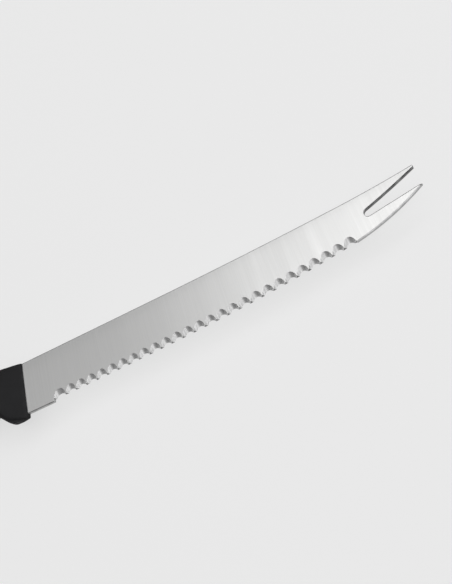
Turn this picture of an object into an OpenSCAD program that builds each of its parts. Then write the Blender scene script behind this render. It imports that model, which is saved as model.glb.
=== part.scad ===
// Tomato knife with a scalloped edge and a forked tip, lying on its left side.
// X runs from the butt to the tip, Y from the edge to the spine, Z out of the ground face.
// The modules draw in a work frame: X from the front of the handle, Y from the edge line,
// Z from the middle of the blade. place() then lays the knife on the floor, Z = 0.

/* [Blade] */
// Length of blade in front of the handle
blade_len = 120; // [95:1:150]
// Height of the blade at the handle, from edge line to spine
heel_h = 16.3; // [13:0.1:20]
// Thickness of the sheet, which the tang keeps and the taper of the blade starts from
spine_t = 1.1; // [0.9:0.05:1.5]
// Thickness left at the edge line by the taper of both faces
edge_t = 0.9; // [0.7:0.05:1.2]
// How far each face falls away at the spine
spine_crown = 0.1; // [0.02:0.01:0.2]
// Width of the crowned band below the spine
crown_w = 5; // [3:0.5:8]
// Fall of the spine per millimetre of length
spine_slope = 0.042; // [0:0.001:0.06]
// Length of the spine that is curved, counted from the points
sweep_len = 74; // [50:1:90]
// Radius of the long sweep of the spine
sweep_r = 1500; // [1000:50:3000]
// Length of the upswept end of the spine
upsweep_len = 22; // [15:1:40]
// Radius of the upswept end of the spine
upsweep_r = 280; // [200:10:500]
// Radius of the edge's belly from its lowest point back to the heel
belly_heel_r = 1120; // [800:10:2000]
// Radius of the edge's belly from its lowest point on to the tip
belly_tip_r = 420; // [350:10:800]
// How far the lowest point of the belly lies ahead of the middle of the serration
belly_ahead = 6.8; // [0:0.1:10]
// How far the lowest point of the belly reaches below the edge line
belly_dip = 0.35; // [0:0.05:0.6]

/* [Serration] */
// Plain edge between the handle and the first scallop
heel_plain = 8.45; // [5:0.05:15]
// Height of the plain heel above the edge line, at the handle
heel_edge_y = 0.33; // [0:0.01:0.6]
// How much lower the plain heel is at the first scallop
heel_drop = 0.4; // [0:0.05:0.8]
// Extra width of the first scallop on its heel side
lead_in = 0.6; // [0.1:0.05:1]
// Distance from scallop to scallop
scallop_pitch = 3.365; // [2.6:0.005:4.4]
// Radius of the wheel rib that grinds a scallop
scallop_r = 1.65; // [1.3:0.01:2.2]
// Angle between a scallop and the face of the blade
scallop_angle = 35; // [28:0.5:50]
// Height of the arch that a scallop leaves on the face
scallop_h = 2.15; // [1.5:0.05:2.6]

/* [Fork] */
// Length of the plain tip beyond the serration
tip_len = 20.1; // [17:0.05:28]
// Distance from the points to the middle of the slot's round end
slot_depth = 14.6; // [11:0.1:16]
// Height of the middle of the slot's round end
slot_y = 7.27; // [6.8:0.01:8]
// Radius of the slot's round end
slot_r = 1.14; // [0.8:0.02:1.3]
// Angle of the slot's lower wall to the blade
slot_low_angle = 5.7; // [4:0.1:7]
// Angle at which the slot's upper wall leaves the round end
slot_up_angle = 15.4; // [14:0.1:18]
// Radius of the slot's upper wall
slot_up_r = 190; // [100:5:300]
// Height of the lower point
low_point_y = 7.42; // [7:0.02:8]
// Height of the lower tine's underside at the end of the serration
tine_y = 1.12; // [0.8:0.02:1.6]
// Angle at which the lower tine leaves the serration
tine_angle = 7.6; // [6:0.05:12]

/* [Handle] */
// Length of the handle
handle_len = 114; // [95:1:135]
// Thickness over the two flat sides
handle_thick = 13; // [11:0.5:16]
// Fullness of the section beyond each flat side
side_bulge = 0.8; // [0.4:0.1:1.2]
// Half thickness of the nose where the blade comes out
nose_half = 0.8; // [0.75:0.05:1.2]
// How far the nose stands above the spine
nose_lip = 0.6; // [0.45:0.05:1.2]
// How far the foot of the nose's front lies behind its top
nose_lean = 0.4; // [0:0.05:1]
// How far the finger guard reaches below the edge line
guard_drop = 0.8; // [0.5:0.1:4]
// Height of the top of the finger groove above the edge line
groove_y = 5.3; // [3:0.1:6]
// Length of the nose and finger groove together
groove_len = 30; // [26:1:36]
// How far the grip's belly reaches below the edge line
belly_drop = 0.4; // [0:0.1:2]
// Rise of the back of the grip above the spine line
back_rise = 1.7; // [0.5:0.1:3]
// How far the butt's hook reaches below the edge line
hook_drop = 1.4; // [0:0.1:3]

/* [Tang] */
// Plastic left behind the end of the tang
tang_cover = 26; // [18:1:40]
// Height of the tang
tang_h = 7.5; // [5:0.25:8]
// Height of the tang's lower side above the edge line
tang_y = 7.2; // [6.8:0.1:8]
// Diameter of each locking hole
lock_hole_d = 4; // [3:0.25:5]
// Number of locking holes
lock_holes = 3; // [1:1:4]
// Distance between locking holes
lock_pitch = 26; // [12:1:28]

/* [Hidden] */

steel = "silver";
black = [0.16, 0.16, 0.17];
far = 200;
arc_fn = 720;
fine_fn = 48;

// Stretches of the blade, counted from the front of the handle
serration_x = heel_plain + lead_in;
scallops = round((blade_len - serration_x - tip_len) / scallop_pitch);
serration_end = serration_x + scallops * scallop_pitch;
belly_x = (serration_x + serration_end) / 2 + belly_ahead;
heel_end_y = heel_edge_y - heel_drop;
tine_x = serration_end - scallop_pitch / 2;
spine_angle = atan(spine_slope);
sweep_start = [blade_len - sweep_len, heel_h - spine_slope * (blade_len - sweep_len)];
sweep_centre = sweep_start + sweep_r * [sin(spine_angle), cos(spine_angle)];
upsweep_x = blade_len - upsweep_len;
upsweep_angle = asin((sweep_centre[0] - upsweep_x) / sweep_r);
upsweep_centre = sweep_centre - (sweep_r - upsweep_r) * [sin(upsweep_angle), cos(upsweep_angle)];
tang_len = handle_len - tang_cover;

// The tang keeps the blade's full height for a short way, and the ground blade is rooted in it
shoulder = 1;
root = 0.6;

// Height of the belly at a distance along the blade
function belly_y(x) =
    let (r = x < belly_x ? belly_heel_r : belly_tip_r)
    r - belly_dip - sqrt(pow(r, 2) - pow(x - belly_x, 2));

// The lower side of the lower tine is an arc from the last scallop to the point
tine_start = [serration_end, tine_y];
tine_run = [blade_len, low_point_y] - tine_start;
tine_r = norm(tine_run) / (2 * sin(atan2(tine_run[1], tine_run[0]) - tine_angle));
tine_centre = tine_start + tine_r * [-sin(tine_angle), cos(tine_angle)];

// The slot widens from its round end to the points
slot_end = [blade_len - slot_depth, slot_y];
slot_low = slot_end + slot_r * [sin(slot_low_angle), -cos(slot_low_angle)];
slot_up = slot_end + slot_r * [-sin(slot_up_angle), cos(slot_up_angle)];
slot_up_centre = slot_up + slot_up_r * [-sin(slot_up_angle), cos(slot_up_angle)];

// The crowned band near the spine has this radius
crown_r = (pow(crown_w, 2) + pow(spine_crown, 2)) / (2 * spine_crown);

// Rows of the handle: distance behind the front, bottom, top, half thickness, squareness
grip_len = handle_len - groove_len;
nose_top = heel_h + nose_lip;
full_half = handle_thick / 2 + side_bulge;
ROWS = [
    [0, -guard_drop + 0.2, nose_top - 0.38, nose_half - 0.05, 16],
    [0.35, -guard_drop, nose_top - 0.2, nose_half, 9],
    [1.1, -guard_drop, nose_top - 0.05, nose_half + 0.3, 7],
    [2.4, -guard_drop + 0.15, nose_top, 0.25 * full_half, 6],
    [4, -guard_drop + 0.42, nose_top + 0.06, 0.37 * full_half, 4.8],
    [6.2, -guard_drop + 0.95, nose_top + 0.18, 0.55 * full_half, 3.6],
    [7.8, 0.28 * groove_y, nose_top + 0.25, 0.66 * full_half, 3],
    [9.4, 0.62 * groove_y, nose_top + 0.32, 0.76 * full_half, 2.8],
    [11, 0.86 * groove_y, nose_top + 0.4, 0.83 * full_half, 2.65],
    [13, 0.98 * groove_y, nose_top + 0.5, 0.91 * full_half, 2.5],
    [16, groove_y, nose_top + 0.66, full_half, 2.5],
    [groove_len - 8, groove_y - 1.2, nose_top + 0.9, full_half, 2.5],
    [groove_len, 0.45 * groove_y, heel_h + back_rise - 0.2, full_half, 2.5],
    [groove_len + 0.22 * grip_len, 0, heel_h + back_rise, full_half, 2.5],
    [groove_len + 0.42 * grip_len, -belly_drop, heel_h + back_rise - 0.3, full_half, 2.5],
    [groove_len + 0.62 * grip_len, 0.5, heel_h + back_rise - 1.2, full_half, 2.5],
    [groove_len + 0.78 * grip_len, 0.9, heel_h + back_rise - 2.4, 0.99 * full_half, 2.5],
    [handle_len - 10, -hook_drop + 0.5, heel_h + back_rise - 4, 0.95 * full_half, 2.5],
    [handle_len - 4, -hook_drop + 0.2, heel_h - 3.4, 0.8 * full_half, 2.4],
    [handle_len - 1, 1.4, heel_h - 5.4, 0.5 * full_half, 2.3],
    [handle_len, 3.9, heel_h - 8, 0.2 * full_half, 2.2]
];
RING_STEPS = 3;
RING_SIDES = 40;

// Smooth curve through the rows, the same way for every column
function row(i) = ROWS[max(0, min(len(ROWS) - 1, i))];
function blend(a, b, c, d, t) =
    0.5 * (2 * b + (c - a) * t + (2 * a - 5 * b + 4 * c - d) * t * t + (3 * b - a - 3 * c + d) * t * t * t);
function row_at(s) =
    let (i = floor(s)) blend(row(i - 1), row(i), row(i + 1), row(i + 2), s - i);

// The front of the handle leans back towards its foot, and the lean fades out along the guard
function lean(y) = nose_lean * (1 - y / heel_h);
function fade(d) = max(0, 1 - d / 8);

// One closed section of the handle, a rounded oblong
function swell(v, n) = sign(v) * pow(abs(v), 2 / n);
function ring(r) = [
    for (k = [0:RING_SIDES - 1])
        let (
            a = 360 * (k + 0.5) / RING_SIDES,
            y = (r[1] + r[2]) / 2 + (r[2] - r[1]) / 2 * swell(sin(a), r[4])
        )
        [-r[0] - fade(r[0]) * lean(y), y, r[3] * swell(cos(a), r[4])]
];

// Outside box of the knife in the work frame, for placing it
top_y = heel_h + back_rise;
bottom_y = -max(guard_drop, hook_drop);
mid = [(blade_len - handle_len) / 2, (top_y + bottom_y) / 2, -handle_thick / 2];

module place() {
    translate(-mid) children();
}

// Solid made by joining rings of points, first ring to last, with flat ends
module loft(rings) {
    n = len(rings[0]);
    last = len(rings) - 1;
    sides = [
        for (i = [0:last - 1], k = [0:n - 1])
            let (a = i * n + k, b = i * n + (k + 1) % n)
            each [[a, b, b + n], [a, b + n, a + n]]
    ];
    front = [[for (k = [n - 1:-1:0]) k]];
    back = [[for (k = [0:n - 1]) last * n + k]];
    polyhedron(points = [for (r = rings) each r], faces = concat(sides, front, back), convexity = 6);
}

// Side view of the blade without its slot, from inside the tang's shoulder to the points
module blade_outline() {
    difference() {
        polygon([
            [-nose_lean - root, heel_edge_y + root], [-nose_lean, heel_edge_y],
            [serration_x, heel_end_y], [serration_x, -1], [blade_len, -1], [blade_len, heel_h],
            sweep_start, [0, heel_h], [-root, heel_h - root]
        ]);
        // Long sweep of the spine, then its upswept end
        intersection() {
            translate(sweep_centre) circle(r = sweep_r, $fn = 2 * arc_fn);
            square([upsweep_x, 2 * heel_h]);
        }
        translate(upsweep_centre) circle(r = upsweep_r, $fn = arc_fn);
        // Long belly of the serrated edge
        below_belly(serration_x, belly_x, belly_heel_r);
        below_belly(belly_x, tine_x + 0.01, belly_tip_r);
        // Lower side of the lower tine
        difference() {
            translate([tine_x, -2]) square([blade_len - tine_x + 2, low_point_y + 2]);
            translate(tine_centre) circle(r = tine_r, $fn = arc_fn);
        }
    }
}

// What one arc of the belly leaves free below the blade
module below_belly(from, to, r) {
    difference() {
        translate([from, -2]) square([to - from, heel_h / 2]);
        translate([belly_x, r - belly_dip]) circle(r = r, $fn = 2 * arc_fn);
    }
}

// Slot between the tines
module slot_outline() {
    reach = slot_depth + 2;
    difference() {
        polygon([
            slot_end, slot_low, slot_low + reach * [1, tan(slot_low_angle)],
            slot_up + reach * [1, tan(slot_up_angle + 12)], slot_up
        ]);
        translate(slot_up_centre) circle(r = slot_up_r, $fn = arc_fn);
    }
    translate(slot_end) circle(r = slot_r, $fn = fine_fn);
}

// Tang of unground sheet, with sloping shoulders and locking holes. ahead draws its front
// forward, so that as a cutter it reaches out of the handle.
module tang(ahead = 0) {
    linear_extrude(spine_t, center = true) difference() {
        union() {
            polygon([
                [ahead - lean(heel_edge_y), heel_edge_y], [ahead, heel_h], [-shoulder, heel_h],
                [-7, tang_y + tang_h],
                [-tang_len + tang_h / 2, tang_y + tang_h], [-tang_len + tang_h / 2, tang_y],
                [-9, tang_y], [-nose_lean - shoulder, heel_edge_y]
            ]);
            translate([-tang_len + tang_h / 2, tang_y + tang_h / 2]) circle(d = tang_h, $fn = fine_fn);
        }
        for (i = [0:lock_holes - 1])
            translate([-tang_len + tang_h + i * lock_pitch, tang_y + tang_h / 2])
                circle(d = lock_hole_d, $fn = fine_fn);
    }
}

// Cross-section of the ground blade: two tapered faces, crowned below the spine
module blade_section() {
    crown_y = heel_h - crown_w;
    taper = (spine_t - edge_t) / 2 / heel_h;
    crown_half = edge_t / 2 + taper * crown_y;
    foot = [-3, edge_t / 2];
    head = [heel_h + 3, edge_t / 2 + taper * (heel_h + 3)];
    difference() {
        polygon([foot, [0, edge_t / 2], head, [head[0], -head[1]], [0, -edge_t / 2], [foot[0], -foot[1]]]);
        for (side = [0, 1])
            mirror([0, side]) difference() {
                translate([crown_y, 0]) square([crown_w + 4, spine_t]);
                translate([crown_y, crown_half - crown_r]) circle(r = crown_r, $fn = arc_fn);
            }
    }
}

// A flat outline given the cross-section of the ground blade
module ground() {
    intersection() {
        translate([0, 0, -spine_t]) linear_extrude(2 * spine_t) children();
        translate([-far, 0, 0]) rotate([90, 0, 90]) linear_extrude(2 * far) blade_section();
    }
}

// One scallop, ground by a round rib that meets the face at a slant
module scallop() {
    translate([0, scallop_h, edge_t / 2])
        rotate([scallop_angle - 90, 0, 0])
            translate([0, -scallop_r, -4 * scallop_r])
                cylinder(r = scallop_r, h = 12 * scallop_r, $fn = fine_fn);
}

module blade() {
    color(steel) place() difference() {
        union() {
            ground() difference() {
                blade_outline();
                slot_outline();
            }
            tang();
        }
        for (i = [0:scallops - 1]) {
            x = serration_x + (i + 0.5) * scallop_pitch;
            translate([x, belly_y(x), 0]) scallop();
            if (i == 0) translate([x - lead_in, belly_y(x), 0]) scallop();
        }
    }
}

module handle() {
    rings = [for (i = [0:RING_STEPS * (len(ROWS) - 1)]) ring(row_at(i / RING_STEPS))];
    color(black) place() difference() {
        intersection() {
            loft(rings);
            translate([-far, -far / 2, -handle_thick / 2]) cube([2 * far, far, handle_thick]);
        }
        tang(ahead = 1);
    }
}

blade();
handle();
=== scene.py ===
"""Looks of a tomato knife: a brushed, scalloped blade with a forked tip in a black moulded handle.

The knife lies on its left side. X runs from the butt to the points, Y from the edge to the spine,
and Z out of the ground face. Sizes of the blade and the handle are millimetres in the work frame of
the construction: X from the front of the handle, Y from the edge line, and Z from the middle of the
steel.
"""

from __future__ import annotations

import logging
import math
from dataclasses import dataclass, field
from enum import Enum
from typing import Sequence

import bmesh
import bpy
from mathutils import Euler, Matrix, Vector
from mathutils.geometry import delaunay_2d_cdt


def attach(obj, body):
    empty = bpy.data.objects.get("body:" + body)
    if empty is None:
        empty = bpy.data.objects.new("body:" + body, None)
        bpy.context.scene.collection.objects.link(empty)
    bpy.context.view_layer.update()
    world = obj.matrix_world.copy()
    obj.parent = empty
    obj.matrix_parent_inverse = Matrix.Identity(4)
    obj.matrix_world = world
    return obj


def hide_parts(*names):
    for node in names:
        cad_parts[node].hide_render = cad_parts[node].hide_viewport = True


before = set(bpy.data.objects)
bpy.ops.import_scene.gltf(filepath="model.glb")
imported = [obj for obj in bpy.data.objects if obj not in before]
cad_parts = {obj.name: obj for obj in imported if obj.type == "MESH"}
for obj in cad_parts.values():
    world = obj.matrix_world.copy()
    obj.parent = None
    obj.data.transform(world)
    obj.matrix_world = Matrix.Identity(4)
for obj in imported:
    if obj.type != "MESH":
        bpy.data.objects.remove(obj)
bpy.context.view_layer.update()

LOG = logging.getLogger("tomato_knife")
MM = 0.001
TINY = 1e-6
RIDGE = "ridge"
Point = tuple[float, float]
Place = tuple[float, float, float]
Colour = tuple[float, float, float, float]


class Zone(Enum):
    """Finishes on the steel, in the order of the blade's material slots."""

    FACE = 0
    GROUND = 1
    HONED = 2
    SHEARED = 3


class Side(Enum):
    """The two broad faces of the blade, with the sign of their Z."""

    GROUND_FACE = 1
    PLAIN_FACE = -1


class Origin:
    """Where the row frame's origin lies in the work frame, in millimetres."""

    x = 3.0
    y = 8.3
    z = -6.5


def work_to_row(x: float, y: float, z: float) -> Vector:
    """Turns a place in the work frame into the row frame.

    Args:
        x: Millimetres from the front of the handle towards the points.
        y: Millimetres from the edge line towards the spine.
        z: Millimetres from the middle of the steel towards the ground face.

    Returns:
        The same place in metres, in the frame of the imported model.
    """
    return Vector((x - Origin.x, y - Origin.y, z - Origin.z)) * MM


def grey(level: float) -> Colour:
    """A plain grey of a level from 0 to 1."""
    return (level, level, level, 1.0)


class Wiring:
    """Adds and links nodes in one node tree."""

    def __init__(self, tree: bpy.types.NodeTree) -> None:
        """Keeps the tree that the nodes go into."""
        self.tree = tree

    def add(self, kind: str, **inputs: object) -> bpy.types.Node:
        """Adds a node and fills or links its inputs.

        Args:
            kind: The node's type name.
            **inputs: Values or sockets by input name, with spaces written as underscores.

        Returns:
            The new node.
        """
        node = self.tree.nodes.new(kind)
        for name, value in inputs.items():
            self.feed(node.inputs[name.replace("_", " ")], value)
        return node

    def feed(self, socket: bpy.types.NodeSocket, value: object) -> None:
        """Links a socket to another one, or sets its value.

        Args:
            socket: The input to fill.
            value: A socket to link, or a plain value.
        """
        if isinstance(value, bpy.types.NodeSocket):
            self.tree.links.new(value, socket)
        else:
            socket.default_value = value

    def blend(self, factor: object, low: object, high: object) -> bpy.types.NodeSocket:
        """Mixes two colours by a factor.

        Args:
            factor: Socket or number from 0 to 1.
            low: Colour at factor 0.
            high: Colour at factor 1.

        Returns:
            The mixed colour's socket.
        """
        node = self.tree.nodes.new("ShaderNodeMix")
        node.data_type = "RGBA"
        self.feed(node.inputs["Factor"], factor)
        self.feed(node.inputs["A"], low)
        self.feed(node.inputs["B"], high)
        return node.outputs["Result"]

    def remap(self, value: object, low: float, high: float) -> bpy.types.NodeSocket:
        """Maps 0 to 1 onto low to high.

        Args:
            value: Socket that runs from 0 to 1.
            low: Result at 0.
            high: Result at 1.

        Returns:
            The mapped value's socket.
        """
        return self.add("ShaderNodeMapRange", Value=value, To_Min=low, To_Max=high).outputs["Result"]

    def math(self, operation: str, a: object, b: object) -> bpy.types.NodeSocket:
        """Combines two values with one arithmetic operation.

        Args:
            operation: The Math node's operation name.
            a: First value or socket.
            b: Second value or socket.

        Returns:
            The result's socket.
        """
        node = self.tree.nodes.new("ShaderNodeMath")
        node.operation = operation
        self.feed(node.inputs[0], a)
        self.feed(node.inputs[1], b)
        return node.outputs["Value"]


class Effects:
    """Shader groups that more than one finish uses, each built once."""

    GRAIN = "directional_grain"
    SCUFF_AND_HIGHLIGHT = "edge_scuff"
    MIDDLE = 0.5
    PATCHES = (420.0, 420.0, 420.0)

    @classmethod
    def grain(cls) -> bpy.types.NodeTree:
        """Streaks or speckle whose fineness is set for each axis.

        Returns:
            A group with a Density vector, in features per metre, and Height and Mask outputs.
        """
        if cls.GRAIN in bpy.data.node_groups:
            return bpy.data.node_groups[cls.GRAIN]
        group = bpy.data.node_groups.new(cls.GRAIN, "ShaderNodeTree")
        cls._socket(group, "Density", "INPUT", "NodeSocketVector")
        cls._socket(group, "Detail", "INPUT", "NodeSocketFloat")
        cls._socket(group, "Contrast", "INPUT", "NodeSocketFloat")
        cls._socket(group, "Height", "OUTPUT", "NodeSocketFloat")
        cls._socket(group, "Mask", "OUTPUT", "NodeSocketFloat")
        wires = Wiring(group)
        source = wires.add("NodeGroupInput").outputs
        place = wires.add("ShaderNodeTexCoord").outputs["Object"]
        spread = wires.tree.nodes.new("ShaderNodeVectorMath")
        spread.operation = "MULTIPLY"
        wires.feed(spread.inputs[0], place)
        wires.feed(spread.inputs[1], source["Density"])
        noise = wires.add("ShaderNodeTexNoise", Vector=spread.outputs["Vector"], Scale=1.0,
                          Detail=source["Detail"], Roughness=0.6)
        centred = wires.math("SUBTRACT", noise.outputs["Fac"], cls.MIDDLE)
        swung = wires.math("MULTIPLY", centred, source["Contrast"])
        mask = wires.add("ShaderNodeClamp", Value=wires.math("ADD", swung, cls.MIDDLE))
        wires.add("NodeGroupOutput", Height=noise.outputs["Fac"], Mask=mask.outputs["Result"])
        return group

    @classmethod
    def scuff_and_highlight(cls) -> bpy.types.NodeTree:
        """Broken-up wear and painted highlight along the edges that a mesh marks in its ridge
        attribute.

        Returns:
            A group with an Amount input and a Mask output.
        """
        if cls.SCUFF_AND_HIGHLIGHT in bpy.data.node_groups:
            return bpy.data.node_groups[cls.SCUFF_AND_HIGHLIGHT]
        group = bpy.data.node_groups.new(cls.SCUFF_AND_HIGHLIGHT, "ShaderNodeTree")
        cls._socket(group, "Amount", "INPUT", "NodeSocketFloat")
        cls._socket(group, "Mask", "OUTPUT", "NodeSocketFloat")
        wires = Wiring(group)
        source = wires.add("NodeGroupInput").outputs
        ridge = wires.tree.nodes.new("ShaderNodeAttribute")
        ridge.attribute_name = RIDGE
        patches = cls.place(wires, cls.grain(), Density=cls.PATCHES, Detail=4.0, Contrast=3.0)
        broken = wires.math("MULTIPLY", ridge.outputs["Fac"], patches.outputs["Mask"])
        wires.add("NodeGroupOutput", Mask=wires.math("MULTIPLY", broken, source["Amount"]))
        return group

    @staticmethod
    def place(wires: Wiring, group: bpy.types.NodeTree, **inputs: object) -> bpy.types.Node:
        """Places a group in a material.

        Args:
            wires: The material's wiring.
            group: The shader group.
            **inputs: Values or sockets by input name.

        Returns:
            The group's node.
        """
        node = wires.tree.nodes.new("ShaderNodeGroup")
        node.node_tree = group
        for name, value in inputs.items():
            wires.feed(node.inputs[name], value)
        return node

    @staticmethod
    def _socket(group: bpy.types.NodeTree, name: str, side: str, kind: str) -> None:
        """Adds one socket to a group's interface."""
        group.interface.new_socket(name=name, in_out=side, socket_type=kind)


@dataclass(frozen=True)
class Steel:
    """Brushed, ground or stamped stainless steel.

    Lines run along Y, across the blade. Counts of lines and bands are per metre, and depth is in
    millimetres.
    """

    name: str
    light: Colour
    dark: Colour
    smooth: float
    rough: float
    lines: float
    line_run: float
    bands: float
    depth: float
    band_run_share: float = 0.25
    band_height: float = 60.0
    fine_share: float = 0.6
    broad_share: float = 0.4
    # Lighter steel along the edges: wear and a painted highlight.
    wear_and_highlight: Colour = grey(0.86)

    def material(self) -> bpy.types.Material:
        """Builds the finish.

        Returns:
            The node material.
        """
        made, wires, shader = start_material(self.name)
        line_density = (self.lines, self.line_run, self.line_run)
        band_density = (self.bands, self.line_run * self.band_run_share, self.band_height)
        fine = Effects.place(wires, Effects.grain(), Density=line_density, Detail=5.0, Contrast=2.2)
        broad = Effects.place(wires, Effects.grain(), Density=band_density, Detail=3.0, Contrast=2.0)
        both = wires.math("ADD", wires.math("MULTIPLY", fine.outputs["Mask"], self.fine_share),
                          wires.math("MULTIPLY", broad.outputs["Mask"], self.broad_share))
        # Lighter colour along the edges that the ridge attribute marks: wear and a painted
        # highlight.
        rubbed_and_highlight = Effects.place(wires, Effects.scuff_and_highlight(), Amount=0.5).outputs["Mask"]
        colour = wires.blend(both, self.dark, self.light)
        wires.feed(shader.inputs["Base Color"], wires.blend(rubbed_and_highlight, colour, self.wear_and_highlight))
        wires.feed(shader.inputs["Roughness"], wires.remap(both, self.rough, self.smooth))
        wires.feed(shader.inputs["Metallic"], 1.0)
        bump = wires.add("ShaderNodeBump", Strength=0.35, Distance=self.depth * MM,
                         Height=fine.outputs["Height"])
        wires.feed(shader.inputs["Normal"], bump.outputs["Normal"])
        return made


@dataclass(frozen=True)
class Moulding:
    """Matt plastic from a finely etched mould. Counts are per metre, and depth is in millimetres."""

    name: str = "handle_matt_black"
    base: Colour = (0.021, 0.021, 0.022, 1.0)
    cloud: Colour = (0.025, 0.025, 0.0265, 1.0)
    # Lighter plastic at the front lip and along the seam: wear and a painted highlight.
    rubbed_and_highlight: Colour = (0.034, 0.034, 0.036, 1.0)
    gloss: float = 0.08
    matt: float = 0.62
    sheen: float = 0.5
    uneven: float = 0.06
    etch: float = 3600.0
    clouds: float = 90.0
    depth: float = 0.02

    def material(self) -> bpy.types.Material:
        """Builds the finish.

        Returns:
            The node material.
        """
        made, wires, shader = start_material(self.name)
        grain = Effects.grain()
        etch = Effects.place(wires, grain, Density=(self.etch,) * 3, Detail=3.0, Contrast=2.5)
        cloud = Effects.place(wires, grain, Density=(self.clouds,) * 3, Detail=4.0, Contrast=2.0)
        # The edge mask lightens the colour and eases the roughness at the lip and seam: wear and a
        # painted highlight.
        wear_and_highlight = Effects.place(wires, Effects.scuff_and_highlight(), Amount=0.8).outputs["Mask"]
        colour = wires.blend(cloud.outputs["Mask"], self.base, self.cloud)
        wires.feed(shader.inputs["Base Color"], wires.blend(wear_and_highlight, colour, self.rubbed_and_highlight))
        rough = wires.remap(cloud.outputs["Mask"], self.matt, self.matt - self.uneven)
        eased = wires.math("SUBTRACT", rough, wires.math("MULTIPLY", wear_and_highlight, self.matt - self.sheen))
        wires.feed(shader.inputs["Roughness"], eased)
        wires.feed(shader.inputs["Specular IOR Level"], self.gloss)
        bump = wires.add("ShaderNodeBump", Strength=0.5, Distance=self.depth * MM,
                         Height=etch.outputs["Height"])
        wires.feed(shader.inputs["Normal"], bump.outputs["Normal"])
        return made


def start_material(name: str) -> tuple[bpy.types.Material, Wiring, bpy.types.Node]:
    """Makes an empty node material with a Principled shader.

    Args:
        name: The material's name.

    Returns:
        The material, its wiring and the shader.
    """
    made = bpy.data.materials.new(name)
    made.use_nodes = True
    made.node_tree.nodes.clear()
    wires = Wiring(made.node_tree)
    shader = wires.add("ShaderNodeBsdfPrincipled")
    wires.add("ShaderNodeOutputMaterial", Surface=shader.outputs["BSDF"])
    return made, wires, shader


@dataclass(frozen=True)
class Rung:
    """One step along the blade's outline, where the ground face comes down to the plain face."""

    front: Point
    back: Point
    zone: Zone
    land: float | None = None


@dataclass(frozen=True)
class Facets:
    """How many steps each stretch of the blade's outline and faces is drawn with."""

    heel: int = 6
    scallop: int = 22
    tine: int = 30
    slot_low: int = 16
    slot_end: int = 20
    slot_up: int = 24
    spine: int = 60
    tang_end: int = 12
    flat_rows: int = 4
    crown_rows: int = 8
    tang_columns: int = 20
    blade_columns: int = 52


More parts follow.
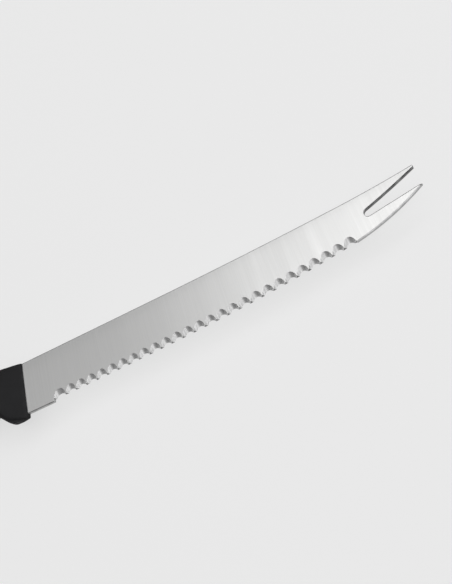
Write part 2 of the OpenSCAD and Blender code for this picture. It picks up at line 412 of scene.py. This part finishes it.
@dataclass
class Blade:
    """The stamped and ground blade with its tang.

    Sizes are in millimetres and radians. Each break is a pair: its width along the ground face and
    its depth down the wall. The tapered steel and the outline's edge both start a little ahead of
    the root, where the handle hides them.
    """

    length: float = 120.0
    heel_height: float = 16.3
    spine_thick: float = 1.1
    edge_thick: float = 0.9
    spine_crown: float = 0.1
    crown_width: float = 5.0
    spine_slope: float = 0.042
    sweep_length: float = 74.0
    sweep_radius: float = 1500.0
    upsweep_length: float = 22.0
    upsweep_radius: float = 280.0
    belly_heel_radius: float = 1120.0
    belly_tip_radius: float = 420.0
    belly_ahead: float = 6.8
    belly_dip: float = 0.35
    heel_plain: float = 8.45
    heel_edge_y: float = 0.33
    heel_drop: float = 0.4
    lead_in: float = 0.6
    scallop_pitch: float = 3.365
    scallop_count: int = 27
    scallop_radius: float = 1.65
    scallop_angle: float = math.radians(35.0)
    scallop_height: float = 2.15
    slot_depth: float = 14.6
    slot_y: float = 7.27
    slot_radius: float = 1.14
    slot_low_angle: float = math.radians(5.7)
    slot_up_angle: float = math.radians(15.4)
    slot_up_radius: float = 190.0
    low_point_y: float = 7.42
    tine_y: float = 1.12
    tine_angle: float = math.radians(7.6)
    tip_round: float = 0.12
    tang_length: float = 88.0
    tang_height: float = 7.5
    tang_y: float = 7.2
    tang_top_x: float = -7.0
    tang_low_x: float = -9.0
    sheet_ahead: float = 0.5
    outline_ahead: float = 0.6
    first_row_y: float = 3.4
    shoulder: float = 1.0
    nose_lean: float = 0.4
    breaks: dict[Zone, Point] = field(default_factory=lambda: {
        Zone.GROUND: (0.02, 0.02), Zone.HONED: (0.26, 0.18), Zone.SHEARED: (0.17, 0.045),
    })
    slot_break: Point = (0.2, 0.26)
    back_break: float = 0.06
    facets: Facets = Facets()

    def __post_init__(self) -> None:
        """Works out the places that follow from the sizes."""
        self.serration_x = self.heel_plain + self.lead_in
        self.serration_end = self.serration_x + self.scallop_count * self.scallop_pitch
        self.belly_x = (self.serration_x + self.serration_end) / 2 + self.belly_ahead
        self.root_x = -self.nose_lean - self.shoulder
        fall = math.atan(self.spine_slope)
        start = Vector((self.length - self.sweep_length, 0.0))
        start.y = self.heel_height - self.spine_slope * start.x
        self.sweep_start = start
        self.sweep_centre = start + self.sweep_radius * Vector((math.sin(fall), math.cos(fall)))
        self.upsweep_x = self.length - self.upsweep_length
        turn = math.asin((self.sweep_centre.x - self.upsweep_x) / self.sweep_radius)
        shorter = self.sweep_radius - self.upsweep_radius
        self.upsweep_centre = self.sweep_centre - shorter * Vector((math.sin(turn), math.cos(turn)))
        self.taper = (self.spine_thick - self.edge_thick) / 2 / self.heel_height
        self.crown_y = self.heel_height - self.crown_width
        self.crown_radius = (self.crown_width**2 + self.spine_crown**2) / (2 * self.spine_crown)

    def half(self, x: float, y: float) -> float:
        """Half thickness of the steel: plain in the handle, tapered and crowned in front of it.

        Args:
            x: Length along the blade.
            y: Height above the edge line.

        Returns:
            The distance from the middle of the steel to either face.
        """
        if x <= self.root_x + self.sheet_ahead:
            return self.spine_thick / 2
        flat = self.edge_thick / 2 + self.taper * max(0.0, min(y, self.crown_y))
        over = max(0.0, y - self.crown_y)
        return flat - self.crown_radius + math.sqrt(self.crown_radius**2 - over**2)

    def belly(self, x: float) -> float:
        """Height of the serrated edge's belly at a length."""
        radius = self.belly_heel_radius if x < self.belly_x else self.belly_tip_radius
        return radius - self.belly_dip - math.sqrt(radius**2 - (x - self.belly_x) ** 2)

    def heel(self, x: float) -> float:
        """Height of the plain heel's edge at a length."""
        along = (x + self.nose_lean) / (self.serration_x + self.nose_lean)
        return self.heel_edge_y - self.heel_drop * along

    def plain(self, points: Sequence[Point], zone: Zone) -> list[Rung]:
        """Rungs straight through the steel at the given points."""
        return [Rung(p, p, zone) for p in points]

    def scallop(self, index: int) -> list[Rung]:
        """Rungs round one scallop.

        The round rib of the wheel meets the face at a slant, so at each length the cut is a straight
        line from the arch on the ground face down to the scoop on the plain face.

        Args:
            index: Which scallop, from the handle.

        Returns:
            The rungs from the handle's side to the points' side.
        """
        middle = self.serration_x + (index + 0.5) * self.scallop_pitch
        lean = math.tan(self.scallop_angle)
        line = self.belly(middle)
        reach = self._half_width(self.scallop_height)
        rungs = []
        for share in even(0.0, 1.0, self.facets.scallop):
            across = reach * math.sin(math.pi * (share - 0.5))
            rise = self.scallop_radius - math.sqrt(self.scallop_radius**2 - across**2)
            root = line + self.scallop_height - rise / math.sin(self.scallop_angle)
            front = root * lean / (lean - self.taper)
            back = (root * lean - self.edge_thick) / (lean + self.taper)
            x = middle + across - (self.lead_in if index == 0 and across < 0 else 0.0)
            floor = self.belly(x)
            if back >= floor:
                rungs.append(Rung((x, front), (x, back), Zone.GROUND))
            else:
                cut = self.edge_thick / 2 + (floor - root) * lean
                rim = self.half(x, front) - self.breaks[Zone.GROUND][1]
                rungs.append(Rung((x, max(front, floor)), (x, floor), Zone.GROUND, min(cut, rim)))
        return rungs

    def _half_width(self, depth: float) -> float:
        """Half width of the arch, where its rim comes down to the edge line."""
        drop = depth * math.sin(self.scallop_angle)
        return math.sqrt(self.scallop_radius**2 - (self.scallop_radius - drop) ** 2)

    def tine_underside(self) -> list[Point]:
        """Lower side of the lower tine, an arc from the last scallop to the point.

        Returns:
            Points along the arc.
        """
        start = Vector((self.serration_end, self.tine_y))
        run = Vector((self.length, self.low_point_y)) - start
        radius = run.length / (2 * math.sin(math.atan2(run.y, run.x) - self.tine_angle))
        centre = start + radius * Vector((-math.sin(self.tine_angle), math.cos(self.tine_angle)))
        end_angle = math.atan2(self.low_point_y - centre.y, self.length - centre.x)
        start_angle = math.atan2(start.y - centre.y, start.x - centre.x)
        return arc(centre, radius, start_angle, end_angle, self.facets.tine)

    def slot(self) -> list[Point]:
        """Walls of the slot, from the lower point round its end to the upper point.

        Returns:
            Points along the lower wall, the round end, the upper wall and the blunt upper tip.
        """
        end = Vector((self.length - self.slot_depth, self.slot_y))
        low_out = Vector((math.sin(self.slot_low_angle), -math.cos(self.slot_low_angle)))
        up_out = Vector((-math.sin(self.slot_up_angle), math.cos(self.slot_up_angle)))
        low = end + self.slot_radius * low_out
        up_centre = end + (self.slot_radius + self.slot_up_radius) * up_out
        lower_wall = [
            (low.x + t, low.y + t * math.tan(self.slot_low_angle))
            for t in even(self.length - low.x, 0.0, self.facets.slot_low)[1:]
        ]
        round_end = arc(end, self.slot_radius, self.slot_low_angle - math.pi / 2,
                        self.slot_up_angle - 1.5 * math.pi, self.facets.slot_end)[1:]
        upper_wall = []
        for x in even(round_end[-1][0], self.length - self.tip_round, self.facets.slot_up)[1:]:
            height = up_centre.y - math.sqrt(self.slot_up_radius**2 - (x - up_centre.x) ** 2)
            upper_wall.append((x, height))
        tip = [(self.length, upper_wall[-1][1] + self.tip_round),
               (self.length, self.spine(self.length) - self.tip_round)]
        return lower_wall + round_end + upper_wall + tip

    def spine(self, x: float) -> float:
        """Height of the spine: a straight slope, then two arcs.

        Args:
            x: Length along the blade.

        Returns:
            The height above the edge line.
        """
        if x <= self.sweep_start.x:
            return self.heel_height - self.spine_slope * x
        upswept = x > self.upsweep_x
        centre = self.upsweep_centre if upswept else self.sweep_centre
        radius = self.upsweep_radius if upswept else self.sweep_radius
        return centre.y - math.sqrt(radius**2 - (x - centre.x) ** 2)

    def tang(self) -> list[Point]:
        """Outline of the tang inside the handle, from the spine round to the edge.

        Returns:
            Corners of the shoulders and points along the round end.
        """
        top = self.tang_y + self.tang_height
        radius = self.tang_height / 2
        middle = Vector((radius - self.tang_length, self.tang_y + radius))
        end = arc(middle, radius, math.pi / 2, 1.5 * math.pi, self.facets.tang_end)
        return [(self.root_x, self.heel_height), (self.tang_top_x, top), *end,
                (self.tang_low_x, self.tang_y), (self.root_x, self.heel_edge_y)]

    def outline(self) -> list[Rung]:
        """Goes round the whole blade, anticlockwise from the handle along the edge.

        Returns:
            Every rung of the outline.
        """
        start = self.root_x + self.outline_ahead
        along_heel = even(start, self.heel_plain, self.facets.heel)
        rungs = self.plain([(x, self.heel(x)) for x in along_heel], Zone.HONED)
        for index in range(self.scallop_count):
            rungs += self.scallop(index)
        rungs += self.plain(self.tine_underside(), Zone.HONED)
        rungs += self.plain(self.slot(), Zone.SHEARED)
        along_spine = even(self.length - self.tip_round, start, self.facets.spine)
        rungs += self.plain([(x, self.spine(x)) for x in along_spine], Zone.SHEARED)
        rungs += self.plain(self.tang(), Zone.SHEARED)
        return rungs

    def mesh(self) -> bpy.types.Mesh:
        """Builds the closed mesh of the blade and its tang.

        Returns:
            The mesh, in the row frame, with one material slot for each finish.
        """
        return SteelMesh(self, self.outline()).build("blade_steel")

    def dress(self, piece: bpy.types.Object) -> None:
        """Gives the blade its finishes, in the order of Zone.

        Args:
            piece: The blade's object.
        """
        finishes = {
            Zone.FACE: Steel(
                "steel_brushed_face", light=(0.785, 0.785, 0.78, 1.0), dark=(0.71, 0.71, 0.705, 1.0),
                smooth=0.28, rough=0.36, lines=4200.0, line_run=40.0, bands=260.0, depth=0.012),
            Zone.GROUND: Steel(
                "steel_ground_scallop", light=grey(0.76), dark=grey(0.64),
                smooth=0.36, rough=0.46, lines=5200.0, line_run=90.0, bands=900.0, depth=0.003),
            # The honed edge's darker steel colour is painted shade for the dark surroundings that
            # this downward-facing edge reflects; its rougher grain is real.
            Zone.HONED: Steel(
                "steel_honed_edge_painted_shade", light=grey(0.43), dark=grey(0.33),
                smooth=0.3, rough=0.42, lines=3800.0, line_run=600.0, bands=700.0, depth=0.01),
            # The sheared walls' near-black steel colour is painted shade for the shadowed floor that
            # these walls reflect; their rough stamped grain is real.
            Zone.SHEARED: Steel(
                "steel_sheared_wall_painted_shade", light=grey(0.16), dark=grey(0.09),
                smooth=0.36, rough=0.5, lines=2600.0, line_run=900.0, bands=700.0, depth=0.02),
        }
        for zone in Zone:
            piece.data.materials.append(finishes[zone].material())


class SteelMesh:
    """Turns the rungs of a blade's outline into a closed mesh."""

    FRONT_RIM, FRONT_EDGE, LAND, BACK_EDGE, BACK_RIM = range(5)
    WELD = 0.0008 * MM
    CREASE = math.radians(12.0)
    LEAST_BREAK = 0.15
    CLEAR = 0.25
    FILL_INSIDE = 1

    def __init__(self, blade: Blade, rungs: Sequence[Rung]) -> None:
        """Keeps the blade's sizes and its outline."""
        self.blade = blade
        self.rungs = rungs

    def build(self, name: str) -> bpy.types.Mesh:
        """Builds the walls and both faces.

        Args:
            name: The mesh's name.

        Returns:
            The welded mesh.
        """
        work = bmesh.new()
        rows = self._rows()
        loops = [[work.verts.new(work_to_row(*p)) for p in row] for row in rows]
        self._walls(work, loops)
        self._face(work, rows[self.FRONT_RIM], Side.GROUND_FACE)
        self._face(work, rows[self.BACK_RIM], Side.PLAIN_FACE)
        bmesh.ops.remove_doubles(work, verts=work.verts[:], dist=self.WELD)
        bmesh.ops.dissolve_degenerate(work, edges=work.edges[:], dist=self.WELD)
        bmesh.ops.recalc_face_normals(work, faces=work.faces[:])
        mesh = bpy.data.meshes.new(name)
        work.to_mesh(mesh)
        work.free()
        mesh.shade_smooth()
        mesh.set_sharp_from_angle(angle=self.CREASE)
        return mesh

    def _edge_break(self, zone: Zone, inward_y: float) -> Point:
        """Width and depth of the broken edge on the ground face.

        Sheared walls that face the edge, as in the slot, have the slot's steeper break, and it fades
        where a wall turns to face along the blade.

        Args:
            zone: The finish of the wall below the edge.
            inward_y: Y part of the direction into the steel.

        Returns:
            The width along the face and the depth down the wall.
        """
        if zone is not Zone.SHEARED:
            return self.blade.breaks[zone]
        across, deep = self.blade.breaks[zone] if inward_y < 0 else self.blade.slot_break
        share = max(self.LEAST_BREAK, abs(inward_y))
        return across * share, deep * share

    def _rows(self) -> list[list[Place]]:
        """Works out five points for each rung.

        Returns:
            A row for each step down, from the ground face's rim to the plain face's rim.
        """
        fronts = inward([r.front for r in self.rungs])
        backs = inward([r.back for r in self.rungs])
        rows: list[list[Place]] = [[], [], [], [], []]
        for rung, (fx, fy), (bx, by) in zip(self.rungs, fronts, backs):
            ground = rung.zone is Zone.GROUND
            across, deep = self._edge_break(rung.zone, fy)
            far = 0.0 if ground else self.blade.back_break
            top = self.blade.half(*rung.front)
            low = -self.blade.half(*rung.back)
            land = low + far if rung.land is None else rung.land
            middle = rung.back if ground else rung.front
            rim_x, rim_y = rung.front[0] + fx * across, rung.front[1] + fy * across
            rows[self.FRONT_RIM].append((rim_x, rim_y, top))
            rows[self.FRONT_EDGE].append((*rung.front, top - deep))
            rows[self.LAND].append((*middle, land if ground else (top + low) / 2))
            rows[self.BACK_EDGE].append((*rung.back, low + far))
            rows[self.BACK_RIM].append((rung.back[0] + bx * far, rung.back[1] + by * far, low))
        return rows

    def _walls(self, work: bmesh.types.BMesh, loops: list[list[bmesh.types.BMVert]]) -> None:
        """Joins neighbouring rungs with four bands of faces.

        Args:
            work: The mesh being built.
            loops: Its five closed rows of points.
        """
        count = len(self.rungs)
        ridge = work.loops.layers.float.new(RIDGE)
        for i in range(count):
            j = (i + 1) % count
            zone, after = self.rungs[i].zone, self.rungs[j].zone
            cut = zone is Zone.GROUND and after is Zone.GROUND
            plain = zone if after is Zone.GROUND else after
            lands = (loops[self.LAND][i], loops[self.LAND][j])
            for band, (above, under) in enumerate(zip(loops, loops[1:])):
                face = work.faces.new([above[i], above[j], under[j], under[i]])
                below = Zone.SHEARED if cut and band > self.FRONT_EDGE else plain
                face.material_index = (zone if cut and band <= self.FRONT_EDGE else below).value
                for loop in face.loops:
                    loop[ridge] = 0.0 if loop.vert in lands else 1.0

    def _face(self, work: bmesh.types.BMesh, rim: list[Place], side: Side) -> None:
        """Fills one broad face, with rows of points that carry the crown near the spine.

        Args:
            work: The mesh being built.
            rim: The face's outline.
            side: Which of the two broad faces.
        """
        outline = [Vector((p[0], p[1])) for p in rim]
        inner = [p for p in self._field() if is_inside(p, outline, self.CLEAR)]
        edges = [(i, (i + 1) % len(outline)) for i in range(len(outline))]
        flat, _, faces, *_ = delaunay_2d_cdt(outline + inner, edges, [], self.FILL_INSIDE, TINY)
        half = self.blade.half
        raised = [
            work.verts.new(work_to_row(p.x, p.y, side.value * half(p.x, p.y))) for p in flat
        ]
        for face in faces:
            made = work.faces.new([raised[k] for k in face])
            made.material_index = Zone.FACE.value

    def _field(self) -> list[Vector]:
        """Spreads points over the blade, in wide steps on the flat and close ones on the crown.

        Returns:
            The points, some of which lie outside the outline.
        """
        blade, facets = self.blade, self.blade.facets
        flat = even(blade.first_row_y, blade.crown_y, facets.flat_rows)
        crown = even(blade.crown_y, blade.heel_height, facets.crown_rows)[1:]
        columns = even(-blade.tang_length, blade.root_x, facets.tang_columns)
        columns += even(blade.root_x + blade.outline_ahead, blade.length, facets.blade_columns)
        return [Vector((x, y)) for x in columns for y in flat + crown]


def even(start: float, end: float, parts: int) -> list[float]:
    """Evenly spaced numbers from start to end, both included."""
    return [start + (end - start) * i / parts for i in range(parts + 1)]


def arc(centre: Vector, radius: float, start: float, end: float, parts: int) -> list[Point]:
    """Points along an arc, both ends included.

    Args:
        centre: Middle of the arc.
        radius: Its radius.
        start: Angle of the first point, in radians.
        end: Angle of the last point.
        parts: How many steps lie between them.

    Returns:
        One point more than there are steps.
    """
    return [
        (centre.x + radius * math.cos(a), centre.y + radius * math.sin(a))
        for a in even(start, end, parts)
    ]


def inward(points: Sequence[Point]) -> list[Point]:
    """Finds which way is into an outline at each of its points.

    Args:
        points: Corners of an anticlockwise outline.

    Returns:
        A unit direction for each point. A doubled point takes the one before it.
    """
    found = []
    last = Vector((0.0, 1.0))
    for i, here in enumerate(points):
        ahead = Vector(points[(i + 1) % len(points)]) - Vector(here)
        behind = Vector(here) - Vector(points[i - 1])
        along = ahead.normalized() + behind.normalized()
        if along.length > TINY:
            last = Vector((-along.y, along.x)).normalized()
        found.append((last.x, last.y))
    return found


def is_inside(point: Vector, outline: Sequence[Vector], margin: float) -> bool:
    """Whether a point lies inside an outline and at least a margin away from its points.

    Args:
        point: The point.
        outline: Corners of the outline, in order.
        margin: Least distance to any corner.

    Returns:
        True if the point is inside and clear of the rim.
    """
    crossed = False
    for i, here in enumerate(outline):
        before = outline[i - 1]
        if (here - point).length < margin:
            return False
        if (here.y > point.y) != (before.y > point.y):
            at = before.x + (point.y - before.y) / (here.y - before.y) * (here.x - before.x)
            crossed ^= at > point.x
    return crossed


@dataclass
class Handle:
    """The moulded handle, lofted through the same rows as the construction.

    Sizes are in millimetres, and the seam's places and turns are in degrees round a section.
    """

    length: float = 114.0
    thick: float = 13.0
    bulge: float = 0.8
    nose_half: float = 0.8
    nose_lip: float = 0.6
    nose_lean: float = 0.4
    guard_drop: float = 0.8
    groove_y: float = 5.3
    groove_length: float = 30.0
    belly_drop: float = 0.4
    back_rise: float = 1.7
    hook_drop: float = 1.4
    heel_height: float = 16.3
    flat_softness: float = 0.5
    nose_break: float = 0.08
    lean_fade: float = 8.0
    trim: float = 0.08
    trim_fade: float = 16.0
    # How far the lighter plastic reaches behind the front, and below, how strongly the seam is
    # lightened: wear and a painted highlight.
    front_wear_and_highlight: float = 1.2
    seam_height: float = 0.05
    seam_start: float = 1.0
    seam_wear_and_highlight: float = 0.7
    seam_half: float = 0.6
    seam_places: Point = (90.0, 270.0)
    seam_turns: tuple[float, ...] = (-0.9, -0.45, 0.0, 0.45, 0.9)
    crease: float = 60.0
    nose_rings: int = 3
    ring_steps: int = 12
    sides: int = 120

    def rows(self) -> list[list[float]]:
        """Lists the sections that the handle is drawn through.

        Returns:
            Distance behind the front, bottom, top, half thickness and squareness of each one.
        """
        full = self.thick / 2 + self.bulge
        lip = self.heel_height + self.nose_lip
        back = self.heel_height + self.back_rise
        low = -self.guard_drop
        grip = self.length - self.groove_length
        start = self.groove_length
        return [
            [0, low + 0.2, lip - 0.62, self.nose_half - 0.05, 16],
            [0.35, low, lip - 0.4, self.nose_half, 9],
            [1.1, low, lip - 0.25, self.nose_half + 0.3, 7],
            [2.4, low + 0.15, lip - 0.18, 0.25 * full, 6],
            [4, low + 0.42, lip - 0.1, 0.37 * full, 4.8],
            [6.2, low + 0.95, lip + 0.08, 0.55 * full, 3.6],
            [7.8, 0.28 * self.groove_y, lip + 0.25, 0.66 * full, 3],
            [9.4, 0.62 * self.groove_y, lip + 0.32, 0.76 * full, 2.8],
            [11, 0.86 * self.groove_y, lip + 0.4, 0.83 * full, 2.65],
            [13, 0.98 * self.groove_y, lip + 0.5, 0.91 * full, 2.5],
            [16, self.groove_y, lip + 0.66, full, 2.5],
            [start - 8, self.groove_y - 1.2, lip + 0.9, full, 2.5],
            [start, 0.45 * self.groove_y, back - 0.2, full, 2.5],
            [start + 0.22 * grip, 0, back, full, 2.5],
            [start + 0.42 * grip, -self.belly_drop, back - 0.3, full, 2.5],
            [start + 0.62 * grip, 0.5, back - 1.2, full, 2.5],
            [start + 0.78 * grip, 0.9, back - 2.4, 0.99 * full, 2.5],
            [self.length - 10, -self.hook_drop + 0.5, back - 4, 0.95 * full, 2.5],
            [self.length - 4, -self.hook_drop + 0.2, self.heel_height - 3.4, 0.8 * full, 2.4],
            [self.length - 1, 1.4, self.heel_height - 5.4, 0.5 * full, 2.3],
            [self.length, 3.9, self.heel_height - 8, 0.2 * full, 2.2],
        ]

    def sections(self) -> list[list[float]]:
        """Fills in smooth rows between the given ones, and a small round at the front.

        Returns:
            Every row of the loft, in the form that rows() has.
        """
        rows = self.rows()
        filled = []
        for i in range(len(rows) - 1):
            four = [rows[max(0, min(len(rows) - 1, i + k))] for k in (-1, 0, 1, 2)]
            filled += [smooth_row(four, t / self.ring_steps) for t in range(self.ring_steps)]
        filled.append(rows[-1])
        front = list(filled[0])
        for k, share in enumerate(even(0.0, 1.0, self.nose_rings)[:-1]):
            turn = share * math.pi / 2
            drawn_in = self.nose_break * (1 - math.sin(turn))
            rounded = list(front)
            rounded[0] = self.nose_break * (1 - math.cos(turn))
            rounded[1] += drawn_in
            rounded[2] -= drawn_in
            rounded[3] -= drawn_in
            filled.insert(k, rounded)
        filled[self.nose_rings] = [self.nose_break, *front[1:]]
        return filled

    def ring(self, row: Sequence[float]) -> list[tuple[Vector, float]]:
        """One closed section, with how much of a ridge each point is on.

        Args:
            row: Distance behind the front, bottom, top, half thickness and squareness.

        Returns:
            Points in the row frame, each with its ridge value from 0 to 1.
        """
        behind, bottom, top, half, square = row
        trimmed = self.trim * min(1.0, max(0.0, behind) / self.trim_fade)
        near_front = max(0.0, 1.0 - behind / self.front_wear_and_highlight)
        leaning = max(0.0, 1 - behind / self.lean_fade)
        found = []
        for turn in self._turns():
            side, up = math.cos(turn), math.sin(turn)
            y = (bottom + top) / 2 + ((top - bottom) / 2 - trimmed) * swell(up, square)
            z = half * swell(side, square)
            on_seam = abs(side) < math.sin(math.radians(self.seam_half)) and behind > self.seam_start
            if on_seam:
                y += math.copysign(self.seam_height, up)
            z = math.copysign(soft_least(abs(z), self.thick / 2, self.flat_softness), z)
            lean = self.nose_lean * (1 - y / self.heel_height) * leaning
            # The ridge value marks the seam and the front lip, where the plastic is lightened: wear
            # and a painted highlight.
            ridge = max(self.seam_wear_and_highlight * on_seam, near_front)
            found.append((work_to_row(-behind - lean, y, z), ridge))
        return found

    def _turns(self) -> list[float]:
        """Spaces points round a section, closer together at the mould's parting line.

        Returns:
            The angles, in radians.
        """
        turns = {round(360 * (k + 0.5) / self.sides, 4) for k in range(self.sides)}
        for middle in self.seam_places:
            turns |= {middle + step for step in self.seam_turns}
        return [math.radians(t) for t in sorted(turns)]

    def mesh(self) -> bpy.types.Mesh:
        """Builds the closed mesh of the handle.

        Returns:
            The mesh, in the row frame, with its ridge attribute.
        """
        work = bmesh.new()
        ridge = work.verts.layers.float.new(RIDGE)
        loops = []
        for row in self.sections():
            loop = []
            for place, value in self.ring(row):
                vert = work.verts.new(place)
                vert[ridge] = value
                loop.append(vert)
            loops.append(loop)
        for near, beyond in zip(loops, loops[1:]):
            for k in range(len(near)):
                n = (k + 1) % len(near)
                work.faces.new([near[k], near[n], beyond[n], beyond[k]])
        work.faces.new(list(reversed(loops[0])))
        work.faces.new(loops[-1])
        bmesh.ops.recalc_face_normals(work, faces=work.faces[:])
        mesh = bpy.data.meshes.new("handle_moulding")
        work.to_mesh(mesh)
        work.free()
        mesh.shade_smooth()
        mesh.set_sharp_from_angle(angle=math.radians(self.crease))
        return mesh

    def dress(self, piece: bpy.types.Object) -> None:
        """Gives the handle its matt plastic."""
        piece.data.materials.append(Moulding().material())


def swell(value: float, square: float) -> float:
    """A sine or cosine pushed outwards, for a rounded oblong."""
    return math.copysign(abs(value) ** (2 / square), value)


def soft_least(value: float, limit: float, softness: float) -> float:
    """The smaller of two numbers, with the corner between them rounded off."""
    share = max(softness - abs(value - limit), 0.0) / softness
    return min(value, limit) - share * share * softness / 4


def smooth_row(four: Sequence[Sequence[float]], t: float) -> list[float]:
    """A row between the second and third of four, on a smooth curve through all of them.

    Args:
        four: Neighbouring rows.
        t: Share of the way from the second row to the third.

    Returns:
        The row at that place.
    """
    return [
        0.5 * (2 * b + (c - a) * t + (2 * a - 5 * b + 4 * c - d) * t**2
               + (3 * b - a - 3 * c + d) * t**3)
        for a, b, c, d in zip(*four)
    ]


@dataclass(frozen=True)
class Panel:
    """A soft light panel in metres, which faces down with its width along X unless it is turned."""

    name: str
    place: Place
    width: float
    depth: float
    radiance: float
    turn: Place = (0.0, 0.0, 0.0)

    def build(self) -> None:
        """Adds the lamp, with its power worked out from how bright it looks."""
        lamp = bpy.data.lights.new(self.name, "AREA")
        lamp.shape = "RECTANGLE"
        lamp.size = self.width
        lamp.size_y = self.depth
        lamp.energy = self.radiance * math.pi * self.width * self.depth
        piece = bpy.data.objects.new(self.name, lamp)
        piece.location = self.place
        piece.rotation_euler = [math.radians(a) for a in self.turn]
        bpy.context.scene.collection.objects.link(piece)


@dataclass
class Studio:
    """Pale floor, soft light and the camera of the photograph, in metres and degrees."""

    camera_place: Place = (0.11014, -0.11426, 0.17176)
    camera_turn: Place = (26.803, 25.755, -17.047)
    lens: float = 48.976
    sensor: float = 36.0
    nearest: float = 0.005
    floor_reach: float = 3.0
    floor_cells: int = 8
    floor_lit: float = 0.80
    floor_dark: float = 0.12
    floor_glow: float = 0.92
    glow_share: float = 0.7
    world_level: float = 0.17
    panels: tuple[Panel, ...] = field(default_factory=lambda: (
        Panel("key_panel", (0.495, 0.55, 0.9), 1.41, 0.5, 1.19),
        Panel("key_core_panel", (0.635, 0.55, 0.89), 1.13, 0.5, 0.33),
        Panel("middle_panel", (0.3, 0.0, 0.9), 1.8, 0.6, 0.8),
        Panel("front_left_panel", (-0.71, -0.65, 0.9), 0.98, 0.7, 0.09),
        Panel("front_wide_panel", (0.49, -0.65, 0.91), 1.42, 0.7, 0.2),
        Panel("front_middle_panel", (0.59, -0.65, 0.92), 1.22, 0.7, 0.4),
        Panel("front_narrow_panel", (0.625, -0.65, 0.93), 1.15, 0.7, 0.6),
        Panel("left_panel", (-0.69, 0.62, 0.9), 1.0, 0.95, 0.33),
        Panel("side_panel", (1.4, -0.1, 0.4), 0.8, 1.3, 1.2, turn=(0.0, 90.0, 0.0)),
    ))

    def build(self) -> None:
        """Builds the camera, the floor, the lamps and the world."""
        scene = bpy.context.scene
        scene.view_settings.view_transform = "Standard"
        self._camera(scene)
        self._floor(scene)
        for panel in self.panels:
            panel.build()
        self._world(scene)

    def _camera(self, scene: bpy.types.Scene) -> None:
        """Places the camera where the photograph was taken from.

        Args:
            scene: The scene that gets the camera.
        """
        camera = bpy.data.cameras.new("photo_camera")
        camera.lens = self.lens
        camera.sensor_width = self.sensor
        camera.clip_start = self.nearest
        piece = bpy.data.objects.new("photo_camera", camera)
        piece.location = self.camera_place
        piece.rotation_euler = Euler([math.radians(a) for a in self.camera_turn])
        scene.collection.objects.link(piece)
        scene.camera = piece

    def _floor(self, scene: bpy.types.Scene) -> None:
        """Lays a floor that looks pale, in the steel too, but throws little light up at the knife.

        Args:
            scene: The scene that gets the floor.
        """
        work = bmesh.new()
        cells = self.floor_cells
        bmesh.ops.create_grid(work, x_segments=cells, y_segments=cells, size=self.floor_reach)
        mesh = bpy.data.meshes.new("studio_floor")
        work.to_mesh(mesh)
        work.free()
        made = bpy.data.materials.new("studio_paper")
        made.use_nodes = True
        made.node_tree.nodes.clear()
        wires = Wiring(made.node_tree)
        lit = wires.add("ShaderNodeBsdfDiffuse", Color=grey(self.floor_lit))
        dark = wires.add("ShaderNodeBsdfDiffuse", Color=grey(self.floor_dark))
        glow = wires.add("ShaderNodeEmission", Color=grey(self.floor_glow), Strength=1.0)
        seen = self._layer(wires, self.glow_share, lit.outputs["BSDF"], glow.outputs["Emission"])
        ray = wires.add("ShaderNodeLightPath").outputs
        direct = wires.math("ADD", ray["Is Camera Ray"], ray["Is Glossy Ray"])
        direct = wires.math("MINIMUM", wires.math("ADD", direct, ray["Is Transmission Ray"]), 1.0)
        surface = self._layer(wires, direct, dark.outputs["BSDF"], seen)
        wires.add("ShaderNodeOutputMaterial", Surface=surface)
        mesh.materials.append(made)
        floor = bpy.data.objects.new("studio_floor", mesh)
        scene.collection.objects.link(floor)

    @staticmethod
    def _layer(wires: Wiring, factor: object, low: object, high: object) -> bpy.types.NodeSocket:
        """Mixes two shaders by a factor.

        Args:
            wires: The material's wiring.
            factor: Socket or number from 0 to 1.
            low: Shader at factor 0.
            high: Shader at factor 1.

        Returns:
            The mixed shader's socket.
        """
        mix = wires.tree.nodes.new("ShaderNodeMixShader")
        for socket, value in zip(mix.inputs, (factor, low, high)):
            wires.feed(socket, value)
        return mix.outputs["Shader"]

    def _world(self, scene: bpy.types.Scene) -> None:
        """Fills in from all round with an even grey.

        Args:
            scene: The scene that gets the world.
        """
        world = bpy.data.worlds.new("studio_air")
        world.use_nodes = True
        world.node_tree.nodes.clear()
        wires = Wiring(world.node_tree)
        sky = wires.add("ShaderNodeBackground", Color=grey(self.world_level), Strength=1.0)
        wires.add("ShaderNodeOutputWorld", Surface=sky.outputs["Background"])
        scene.world = world


def stand_in(mesh: bpy.types.Mesh, node: str) -> bpy.types.Object:
    """Shows a mesh in place of a construction node.

    Args:
        mesh: The finished mesh.
        node: The node that it replaces.

    Returns:
        The new object.
    """
    piece = bpy.data.objects.new(mesh.name, mesh)
    bpy.context.scene.collection.objects.link(piece)
    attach(piece, "root")
    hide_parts(node)
    return piece


def main() -> None:
    """Builds the knife and its studio."""
    logging.basicConfig(level=logging.INFO, format="%(name)s: %(message)s")
    Studio().build()
    for part, node, slot in (
        (Blade(), "blade", "steel"),
        (Handle(), "handle", "handle_plastic"),
    ):
        piece = stand_in(part.mesh(), node)
        part.dress(piece)
        LOG.info("%s replaces %s: %d faces", piece.name, node, len(piece.data.polygons))


if __name__ == "__main__":
    main()
